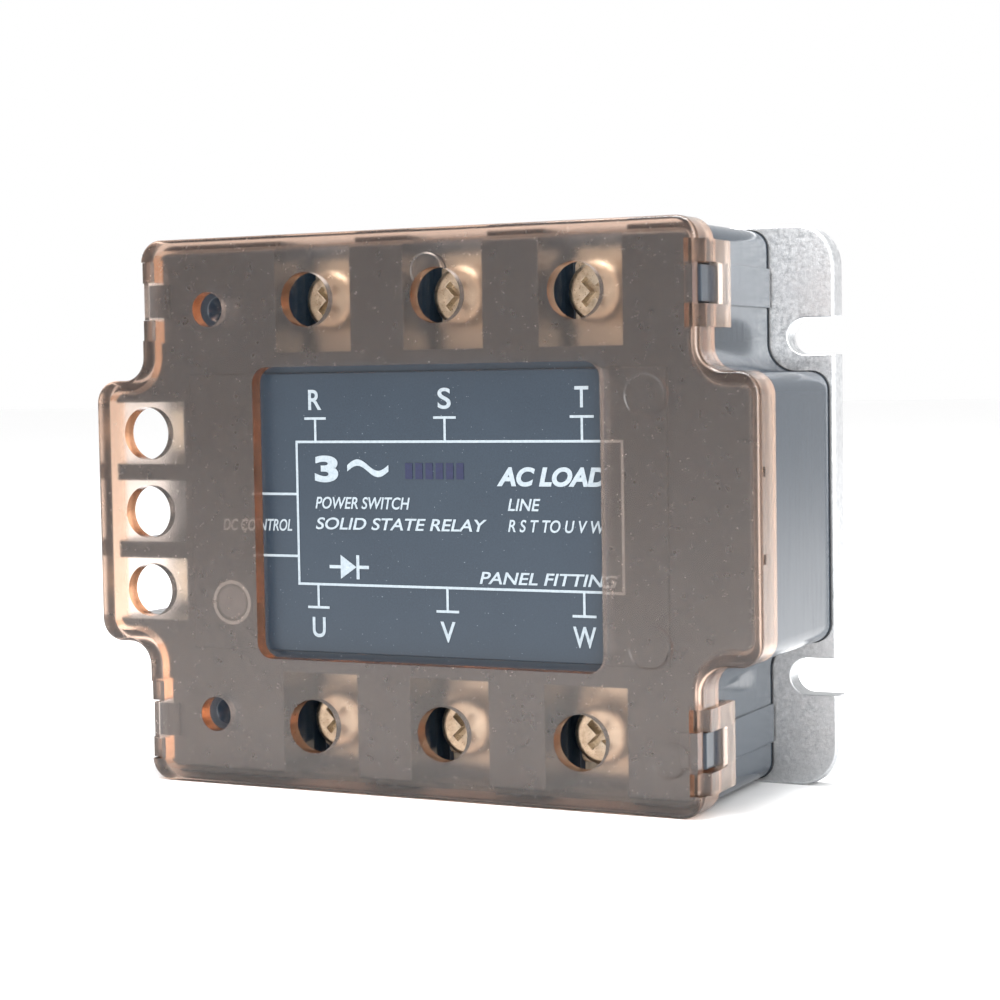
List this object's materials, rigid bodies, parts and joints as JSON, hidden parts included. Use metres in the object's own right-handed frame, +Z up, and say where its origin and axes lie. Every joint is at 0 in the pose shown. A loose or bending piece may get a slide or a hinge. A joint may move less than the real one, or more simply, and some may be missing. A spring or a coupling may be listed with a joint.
{
  "type": "solid state relay",
  "caption": "Panel-mount three-phase solid state relay: aluminium base plate, dark housing and a smoky clear terminal cover with a window and driver holes.",
  "frame": {"origin": "middle of the base plate's back face, which bolts to a heat sink", "axes": "+Z up along the relay's short side, towards the upper row of power terminals; +X to the right along its length; -Y out of the front, through the cover"},
  "size_m": [0.098, 0.0308, 0.074],
  "materials": {
    "cover_plastic": "frosted translucent smoky brown polycarbonate",
    "housing_plastic": "fine grained dark slate moulding",
    "plate_aluminium": "rough milled",
    "black_sealant": "cured black sealant",
    "zinc_steel": "zinc plated steel",
    "plated_brass": "tin plated brass strip",
    "board_green": "solder mask",
    "chip_black": "moulded epoxy",
    "ceramic_white": "alumina",
    "silicon_grey": "metallised silicon",
    "potting_black": "cured potting compound",
    "capacitor_yellow": "moulded case",
    "resistor_blue": "lacquer",
    "led_red": "tinted epoxy",
    "lens_smoke": "dark tinted lens"
  },
  "bodies": {
    "relay_body": {"housing": "housing_plastic", "base_plate": "plate_aluminium", "sealant_bead": "black_sealant", "potting_compound": "potting_black", "control_board": "board_green", "gate_pins": "plated_brass", "status_led": "led_red", "led_lens": "lens_smoke", "power_terminal_r": "plated_brass", "power_terminal_s": "plated_brass", "power_terminal_t": "plated_brass", "power_terminal_u": "plated_brass", "power_terminal_v": "plated_brass", "power_terminal_w": "plated_brass", "input_terminal_plus": "plated_brass", "input_terminal_minus": "plated_brass", "insulator_tile_1": "ceramic_white", "thyristor_chip_1": "silicon_grey", "optocoupler_1": "chip_black", "snubber_capacitor_1": "capacitor_yellow", "snubber_resistor_1": "resistor_blue", "insulator_tile_2": "ceramic_white", "thyristor_chip_2": "silicon_grey", "optocoupler_2": "chip_black", "snubber_capacitor_2": "capacitor_yellow", "snubber_resistor_2": "resistor_blue", "insulator_tile_3": "ceramic_white", "thyristor_chip_3": "silicon_grey", "optocoupler_3": "chip_black", "snubber_capacitor_3": "capacitor_yellow", "snubber_resistor_3": "resistor_blue"},
    "cover": {"terminal_cover": "cover_plastic"},
    "clamp_r": {"wire_clamp_r": "zinc_steel"},
    "screw_r": {"terminal_screw_r": "zinc_steel"},
    "clamp_s": {"wire_clamp_s": "zinc_steel"},
    "screw_s": {"terminal_screw_s": "zinc_steel"},
    "clamp_t": {"wire_clamp_t": "zinc_steel"},
    "screw_t": {"terminal_screw_t": "zinc_steel"},
    "clamp_u": {"wire_clamp_u": "zinc_steel"},
    "screw_u": {"terminal_screw_u": "zinc_steel"},
    "clamp_v": {"wire_clamp_v": "zinc_steel"},
    "screw_v": {"terminal_screw_v": "zinc_steel"},
    "clamp_w": {"wire_clamp_w": "zinc_steel"},
    "screw_w": {"terminal_screw_w": "zinc_steel"},
    "input_clamp_plus": {"input_clamp_plus": "zinc_steel"},
    "input_screw_plus": {"input_screw_plus": "zinc_steel"},
    "input_clamp_minus": {"input_clamp_minus": "zinc_steel"},
    "input_screw_minus": {"input_screw_minus": "zinc_steel"}
  },
  "joints": [
    {"name": "cover_lift", "type": "slide", "parent": "relay_body", "child": "cover", "axis": [0, -1, 0], "range_m": [0, 0.035]},
    {"name": "clamp_r_rise", "type": "slide", "parent": "relay_body", "child": "clamp_r", "axis": [0, -1, 0], "range_m": [0, 0.0028]},
    {"name": "screw_r_turn", "type": "hinge", "parent": "clamp_r", "child": "screw_r", "pos_m": [-0.0146, -0.02, 0.0283], "axis": [0, -1, 0], "range_deg": [0, 1440]},
    {"name": "clamp_s_rise", "type": "slide", "parent": "relay_body", "child": "clamp_s", "axis": [0, -1, 0], "range_m": [0, 0.0028]},
    {"name": "screw_s_turn", "type": "hinge", "parent": "clamp_s", "child": "screw_s", "pos_m": [0.0048, -0.02, 0.0283], "axis": [0, -1, 0], "range_deg": [0, 1440]},
    {"name": "clamp_t_rise", "type": "slide", "parent": "relay_body", "child": "clamp_t", "axis": [0, -1, 0], "range_m": [0, 0.0028]},
    {"name": "screw_t_turn", "type": "hinge", "parent": "clamp_t", "child": "screw_t", "pos_m": [0.0242, -0.02, 0.0283], "axis": [0, -1, 0], "range_deg": [0, 1440]},
    {"name": "clamp_u_rise", "type": "slide", "parent": "relay_body", "child": "clamp_u", "axis": [0, -1, 0], "range_m": [0, 0.0028]},
    {"name": "screw_u_turn", "type": "hinge", "parent": "clamp_u", "child": "screw_u", "pos_m": [-0.0146, -0.02, -0.0283], "axis": [0, -1, 0], "range_deg": [0, 1440]},
    {"name": "clamp_v_rise", "type": "slide", "parent": "relay_body", "child": "clamp_v", "axis": [0, -1, 0], "range_m": [0, 0.0028]},
    {"name": "screw_v_turn", "type": "hinge", "parent": "clamp_v", "child": "screw_v", "pos_m": [0.0048, -0.02, -0.0283], "axis": [0, -1, 0], "range_deg": [0, 1440]},
    {"name": "clamp_w_rise", "type": "slide", "parent": "relay_body", "child": "clamp_w", "axis": [0, -1, 0], "range_m": [0, 0.0028]},
    {"name": "screw_w_turn", "type": "hinge", "parent": "clamp_w", "child": "screw_w", "pos_m": [0.0242, -0.02, -0.0283], "axis": [0, -1, 0], "range_deg": [0, 1440]},
    {"name": "input_clamp_plus_rise", "type": "slide", "parent": "relay_body", "child": "input_clamp_plus", "axis": [0, -1, 0], "range_m": [0, 0.002]},
    {"name": "input_screw_plus_turn", "type": "hinge", "parent": "input_clamp_plus", "child": "input_screw_plus", "pos_m": [-0.0402, -0.016, 0.01075], "axis": [0, -1, 0], "range_deg": [0, 1440]},
    {"name": "input_clamp_minus_rise", "type": "slide", "parent": "relay_body", "child": "input_clamp_minus", "axis": [0, -1, 0], "range_m": [0, 0.002]},
    {"name": "input_screw_minus_turn", "type": "hinge", "parent": "input_clamp_minus", "child": "input_screw_minus", "pos_m": [-0.0402, -0.016, -0.01075], "axis": [0, -1, 0], "range_deg": [0, 1440]}
  ],
  "couplings": [
    {"joint": "screw_r_turn", "follows": "clamp_r_rise", "rad_per_m": 8976},
    {"joint": "screw_s_turn", "follows": "clamp_s_rise", "rad_per_m": 8976},
    {"joint": "screw_t_turn", "follows": "clamp_t_rise", "rad_per_m": 8976},
    {"joint": "screw_u_turn", "follows": "clamp_u_rise", "rad_per_m": 8976},
    {"joint": "screw_v_turn", "follows": "clamp_v_rise", "rad_per_m": 8976},
    {"joint": "screw_w_turn", "follows": "clamp_w_rise", "rad_per_m": 8976},
    {"joint": "input_screw_plus_turn", "follows": "input_clamp_plus_rise", "rad_per_m": 12566},
    {"joint": "input_screw_minus_turn", "follows": "input_clamp_minus_rise", "rad_per_m": 12566}
  ]
}
